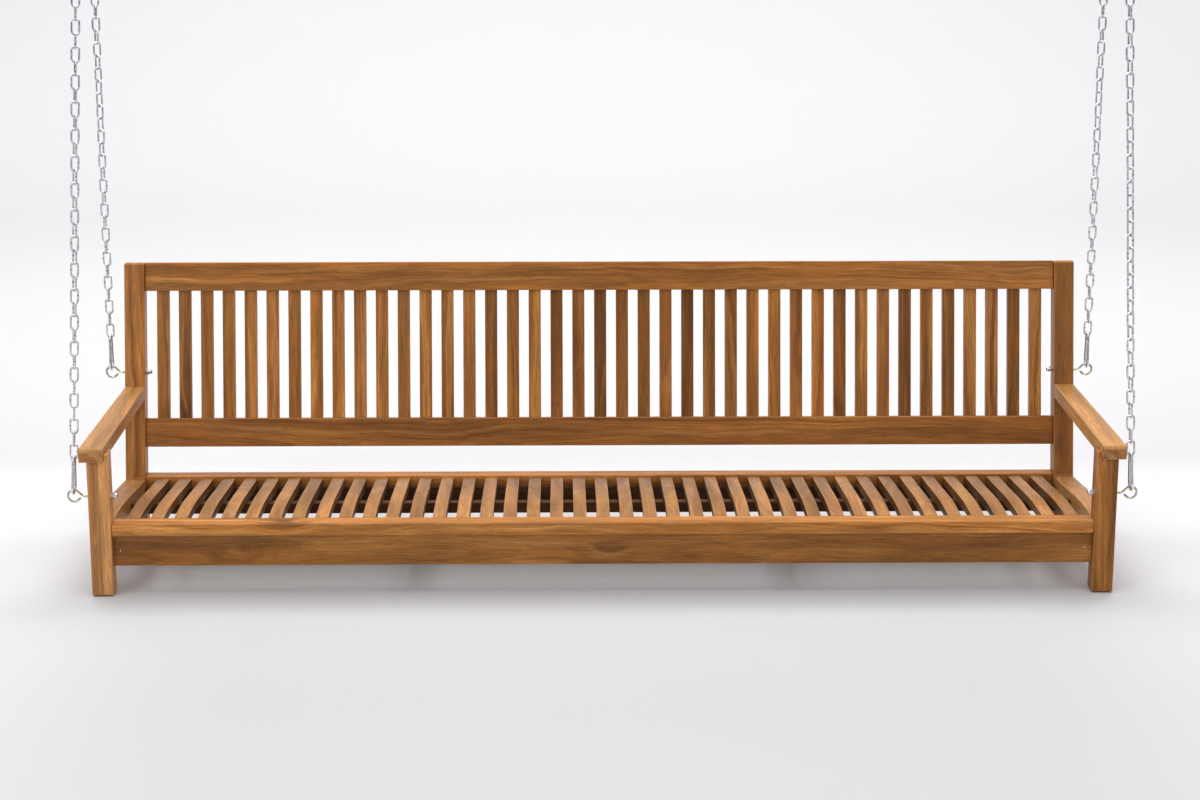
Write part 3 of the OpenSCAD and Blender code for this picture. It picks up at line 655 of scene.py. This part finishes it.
# eye bolt: a wire ring whose neck swells into a plain shank, rolled thread at its end
def eye_parts():
    ring = arc_xz(14.0, -130, 130.0, 52)
    p = np.array(ring[-1])
    neck = np.array([-20.0, 0, 0])
    d = (neck - p) / np.linalg.norm(neck - p)
    ring = [(p[0] + d[0] * t, 0.0, -p[2] - d[2] * t) for t in (8.8, 8.3, 7.0, 5.5, 4.0, 2.5, 1.2)] + ring
    b0, b1 = neck - d * 6.5, neck + np.array([-6.5, 0, 0])
    bend = [(1 - t) ** 2 * b0 + 2 * t * (1 - t) * neck + t * t * b1 for t in np.linspace(0, 1, 11)]
    head, _ = resample(ring + [tuple(q) for q in bend], 1.1)
    xs = np.r_[np.arange(b1[0] - 1.0, -82.0, -4.0), np.arange(-82.0, -95.4, -0.25), -95.9, -96.6]
    tail = np.column_stack([xs, 0 * xs, 0 * xs])
    path = np.vstack([head, tail])
    m = 24
    c, s = ring_points(m)
    ang = np.arange(m) / m
    nh = len(head)

    def section(i):
        x = path[i][0]
        if i < nh:
            r = 2.6 + 1.4 * max(0.0, 1 - (nh - 1 - i) / 9.0) ** 1.6
            if i < 2:
                r *= (0.72, 0.93)[i]
            return r * c, r * s
        r = np.full(m, 4.0)
        if x < -82.5:
            ph = (x / 1.25 + ang) % 1.0
            r = r - 0.55 * np.clip(1 - np.abs(ph - 0.5) / 0.5, 0, 1) * min(1.0, (-82.5 - x) / 1.5)
        if x < -95.0:
            r = np.minimum(r, 4.0 - (-95.0 - x) * 0.5)
        return r * c, r * s

    v, f = sweep(path, section)
    return v, f, [1 if path[min(q) // m][0] < -78 else 0 for q in f]


def turned(prof, m, x0):
    """A solid of revolution about X: prof is (distance along -X from x0, radius, or a six-sided key's inner radius as a third entry)."""
    c, s = ring_points(m)
    ang = np.arange(m) * 2 * math.pi / m
    v, f = [], []
    for row in prof:
        r = np.full(m, float(row[1]))
        if len(row) > 2:
            r = np.minimum(r, row[2] / np.cos((ang + math.pi / 6) % (math.pi / 3) - math.pi / 6))
        v += [(x0 - row[0], a, b) for a, b in zip(r * c, r * s)]
    k = len(prof)
    for i in range(k):
        i2 = (i + 1) % k
        for j in range(m):
            l = (j + 1) % m
            f.append([i * m + j, i * m + l, i2 * m + l, i2 * m + j])
    return np.array(v), f


EV, EF, EM = eye_parts()
# washer and cap nut on the inner side of each leg and post
WASHER = turned([(0.0, 4.2), (0.0, 7.75), (0.25, 8.0), (1.35, 8.0), (1.6, 7.75), (1.6, 4.2)], 48, INX)
dome = [(8.6 + 6.4 * math.sin(t), 6.4 * math.cos(t)) for t in np.linspace(-0.30, math.pi / 2 - 0.10, 13)]
NUT = turned([(9.9, 4.1), (0.0, 4.1), (0.0, 6.35, 6.5), (0.5, 7.0, 6.5), (0.95, 7.5, 6.5), (5.2, 7.5, 6.5), (5.75, 7.15, 6.5), (6.25, 6.6, 6.5), (6.5, 6.3, 6.5)]
             + [q for q in dome if q[0] > 6.9] + [(15.0, 0.12), (9.9, 0.12)], 72, INX - 1.6)
washers, nuts = [], []
for end, y, z in (("front", 25.0, 236.0), ("rear", EYE_YR, 391.0)):
    for side, s in (("left", -1), ("right", 1)):
        q = EV + np.array([1236.0, y, z])
        q[:, 0] *= s
        metal_object(f"eye_{end}_{side}", [(to_frame(q), EF, EM)], [GOLD, ZINC], [f"eye_bolt_{end}_{side}"], "bench", 0.9)
        for (v, f), out, turn in ((WASHER, washers, 0.0), (NUT, nuts, 0.35 * s + 0.8 * (end == "rear"))):
            q = v[:, [1, 2, 0]]
            q = rot_z(q, turn)[:, [2, 0, 1]] + np.array([0.0, y, z])
            q[:, 0] *= s
            out.append((to_frame(q), f, 0))
metal_object("eye_washers", washers, [ZINC], ["eye_washers"], "bench", 0.6)
metal_object("cap_nuts", nuts, [ZINC], ["cap_nuts"], "bench", 0.42)

# ceiling hooks: hook, flange, lag screw
def hook_parts():
    curl = arc_xz(15.0, 398, 90, 56)
    up = [(0.0, 0.0, 15.0 + t) for t in (1.5, 4, 8, 11)]
    r90 = np.array(curl[-1])
    path, _ = resample(curl, 1.6)
    # the neck leaves the ring upwards
    bend = [(1 - t) ** 2 * np.array([-7.5, 0, 13.0]) + 2 * t * (1 - t) * np.array([-0.4, 0, 15.2]) + t * t * np.array([0, 0, 21.0]) for t in np.linspace(0, 1, 8)]
    keep = [q for q in path if not (q[2] > 12.8 and q[0] > -7.6 and q[0] < 1)]
    path = np.vstack([keep, bend, [(0, 0, 24.0), (0, 0, 27.0)]])
    m = 18
    c, s = ring_points(m)

    def section(i):
        r = 3.0 * ((0.7, 0.92)[i] if i < 2 else 1.0)
        return r * c, r * s

    hook = sweep(path, section)
    prof = [(0.0, 26.0), (10.6, 26.0), (11.7, 26.4), (12.0, 27.2), (12.0, 28.2), (11.6, 28.9), (0.0, 28.9)]
    m2 = 40
    c2, s2 = ring_points(m2)
    v, f = [], []
    for r, z in prof[1:-1]:
        v += [(r * a, r * b, z) for a, b in zip(c2, s2)]
    k = len(prof) - 2
    for i in range(k - 1):
        for j in range(m2):
            l = (j + 1) % m2
            f.append([i * m2 + j, i * m2 + l, (i + 1) * m2 + l, (i + 1) * m2 + j])
    f.append(list(range(m2))[::-1])
    f.append([(k - 1) * m2 + j for j in range(m2)])
    flange = (np.array(v), f)
    zs = np.arange(28.5, 89.2, 0.45)
    m3 = 22
    ang = np.arange(m3) / m3
    c3, s3 = ring_points(m3)
    v, f = [], []
    for z in zs:
        base = 3.95 if z < 79 else 3.95 - 3.2 * (z - 79) / 10.2
        on = min(1.0, max(0.0, (z - 36.0) / 4.0))
        ph = (z / 3.2 - ang) % 1.0
        cut = np.clip(1 - np.abs(ph - 0.5) / 0.5, 0, 1) ** 0.8
        r = np.maximum(base - 1.1 * on * cut * min(1.0, base / 3.4), 0.4)
        v += [(q * a, q * b, z) for q, a, b in zip(r, c3, s3)]
    for i in range(len(zs) - 1):
        for j in range(m3):
            l = (j + 1) % m3
            f.append([i * m3 + j, i * m3 + l, (i + 1) * m3 + l, (i + 1) * m3 + j])
    f.append(list(range(m3))[::-1])
    f.append([(len(zs) - 1) * m3 + j for j in range(m3)])
    return [hook, flange, (np.array(v), f)]


HOOK = hook_parts()
for end, x, y in (("front", HOOK_X, 25.0), ("rear", 1236.0, EYE_YR)):
    for side, s in (("left", -1), ("right", 1)):
        parts = []
        for v, f in HOOK:
            q = v + np.array([x, y, HOOK_Z + 15.0])
            q[:, 0] *= s
            parts.append((to_frame(q), f, 0))
        metal_object(f"hook_{end}_{side}", parts, [ZINC], [f"ceiling_hook_{end}_{side}"], "root", 0.9)

# what keeps its CAD shape
for n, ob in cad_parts.items():
    mat = None
    if n.startswith(("snap_", "gate_rivet", "apron_pins")):
        mat = ZINC
    if n.startswith(("bearer_screws", "cleat_screws")):
        mat = BLACK
    if n == "front_board_dowels":
        mat = SAWN_PAINTED_SHADE
    if mat and not ob.hide_render:
        ob.data.materials.clear()
        ob.data.materials.append(mat)

# ---------------------------------------------------------------- studio
z0 = to_frame([0, 0, FLOOR])[2]
me = bpy.data.meshes.new("floor")
prof = [(-9.0, 0.0), (5.0, 0.0)] + [(5.0 + 2.5 * math.sin(a), 2.5 * (1 - math.cos(a))) for a in np.linspace(0.1, math.pi / 2, 14)] + [(7.5, 9.0)]
v, f = [], []
for yy, zz in prof:
    v += [(-14.0, yy, z0 + zz), (14.0, yy, z0 + zz)]
for i in range(len(prof) - 1):
    f.append([2 * i, 2 * i + 1, 2 * i + 3, 2 * i + 2])
me.from_pydata(v, [], f)
me.shade_smooth()
g = Graph("studio_floor_painted_light")
across, depth, _ = g.node("ShaderNodeSeparateXYZ", {0: g.node("ShaderNodeTexCoord").outputs["Object"]}).outputs
# the floor's colour changes from place to place, paler under the bench, at its sides and far behind, darker in front:
# painted light and shade
pale = g.mix(g.band(depth, -0.14, 0.12), (0.565, 0.565, 0.577), (0.735, 0.735, 0.750))
pale = g.mix(g.band(depth, 0.80, 1.20), pale, (0.610, 0.610, 0.622))
pale = g.mix(g.band(depth, 4.0, 6.5), pale, (0.700, 0.700, 0.714))
pale = g.mix(g.band(depth, -0.6, -1.4), pale, (0.600, 0.600, 0.613))
pale = g.mix(g.math("MULTIPLY", g.band(g.math("ABSOLUTE", across), 0.75, 1.75), g.band(depth, 0.9, 0.3)), pale, (0.690, 0.690, 0.704))
g.finish(Base_Color=pale, Roughness=0.7, Specular_IOR_Level=0.2)
# open from its outer side, so that the object shows from behind as well
clear = g.node("ShaderNodeMixShader", {0: g.node("ShaderNodeNewGeometry").outputs["Backfacing"], 1: g.out.inputs["Surface"].links[0].from_socket,
                                       2: g.node("ShaderNodeBsdfTransparent").outputs[0]})
g.nt.links.new(clear.outputs[0], g.out.inputs["Surface"])
me.materials.append(g.m)
floor = bpy.data.objects.new("studio_floor", me)
bpy.context.scene.collection.objects.link(floor)


def area(name, loc, target, size, power, colour=(1, 1, 1)):
    l = bpy.data.lights.new(name, "AREA")
    l.shape, l.size, l.size_y, l.energy, l.color = "RECTANGLE", size[0], size[1], power, colour
    o = bpy.data.objects.new(name, l)
    o.location = loc
    o.rotation_mode = "QUATERNION"
    o.rotation_quaternion = (Vector(target) - Vector(loc)).to_track_quat("-Z", "Y")
    bpy.context.scene.collection.objects.link(o)
    return o


area("top", (0.0, 0.1, 2.6), (0, 0.2, -1.4), (6.5, 3.0), 110)
area("top_back", (0.0, 2.6, 2.7), (0, 0.4, -1.3), (7.5, 2.0), 150)
area("front_left", (-4.5, -5.0, 1.6), (0, 0.2, -1.1), (3.0, 2.5), 106)
area("front_right", (4.5, -5.0, 1.6), (0, 0.2, -1.1), (3.0, 2.5), 46)
area("backdrop", (0.0, 3.0, 3.4), (0, 6.8, 1.2), (10.0, 1.5), 280)

# soft sky: bright overhead and in front, darker low at the sides and from below
world = bpy.data.worlds.new("studio")
world.use_nodes = True
bpy.context.scene.world = world
nt = world.node_tree
bg = nt.nodes["Background"]
tc = nt.nodes.new("ShaderNodeTexCoord")
sp = nt.nodes.new("ShaderNodeSeparateXYZ")
nt.links.new(tc.outputs["Generated"], sp.inputs[0])
up = nt.nodes.new("ShaderNodeMapRange")
up.interpolation_type = "SMOOTHSTEP"
for k, val in (("From Min", -0.30), ("From Max", 0.80), ("To Min", 0.12), ("To Max", 0.75)):
    up.inputs[k].default_value = val
nt.links.new(sp.outputs["Z"], up.inputs["Value"])
sq = nt.nodes.new("ShaderNodeMath")
sq.operation = "MULTIPLY"
nt.links.new(sp.outputs["X"], sq.inputs[0])
nt.links.new(sp.outputs["X"], sq.inputs[1])
side_on = nt.nodes.new("ShaderNodeMapRange")
side_on.interpolation_type = "SMOOTHSTEP"
for k, val in (("From Min", 0.10), ("From Max", 0.60), ("To Min", 1.0), ("To Max", 0.03)):
    side_on.inputs[k].default_value = val
nt.links.new(sq.outputs[0], side_on.inputs["Value"])
level = nt.nodes.new("ShaderNodeMath")
level.operation = "MULTIPLY"
nt.links.new(up.outputs["Result"], level.inputs[0])
nt.links.new(side_on.outputs["Result"], level.inputs[1])
# seen directly, the far end of the studio is an even pale grey
seen = nt.nodes.new("ShaderNodeLightPath")
pick = nt.nodes.new("ShaderNodeMix")
nt.links.new(seen.outputs["Is Camera Ray"], pick.inputs[0])
nt.links.new(level.outputs[0], pick.inputs[2])
pick.inputs[3].default_value = 0.86
nt.links.new(pick.outputs[0], bg.inputs["Strength"])
bg.inputs["Color"].default_value = (1.0, 1.0, 1.0, 1.0)
bpy.context.scene.view_settings.view_transform = "Standard"

# ---------------------------------------------------------------- camera
F_PX, TH, YA, RO = 2642.199, math.radians(14.40686), math.radians(-0.81554), math.radians(0.03188)
CAM = (-93.318, -5906.885, 1987.083)
r0 = Vector((math.cos(YA), math.sin(YA), 0))
fh = Vector((-math.sin(YA), math.cos(YA), 0))
fw = fh * math.cos(TH) - Vector((0, 0, 1)) * math.sin(TH)
d0 = -fh * math.sin(TH) - Vector((0, 0, 1)) * math.cos(TH)
c, s = math.cos(RO), math.sin(RO)
right = r0 * c - d0 * s
down = r0 * s + d0 * c
cam = bpy.data.cameras.new("camera")
cam.sensor_fit, cam.sensor_width, cam.lens = "HORIZONTAL", 36.0, F_PX * 36.0 / 1200.0
cam.clip_start, cam.clip_end = 0.1, 100.0
co = bpy.data.objects.new("camera", cam)
bpy.context.scene.collection.objects.link(co)
co.matrix_world = Matrix.Translation(to_frame(CAM)) @ Matrix((right, -down, -fw)).transposed().to_4x4()
bpy.context.scene.camera = co
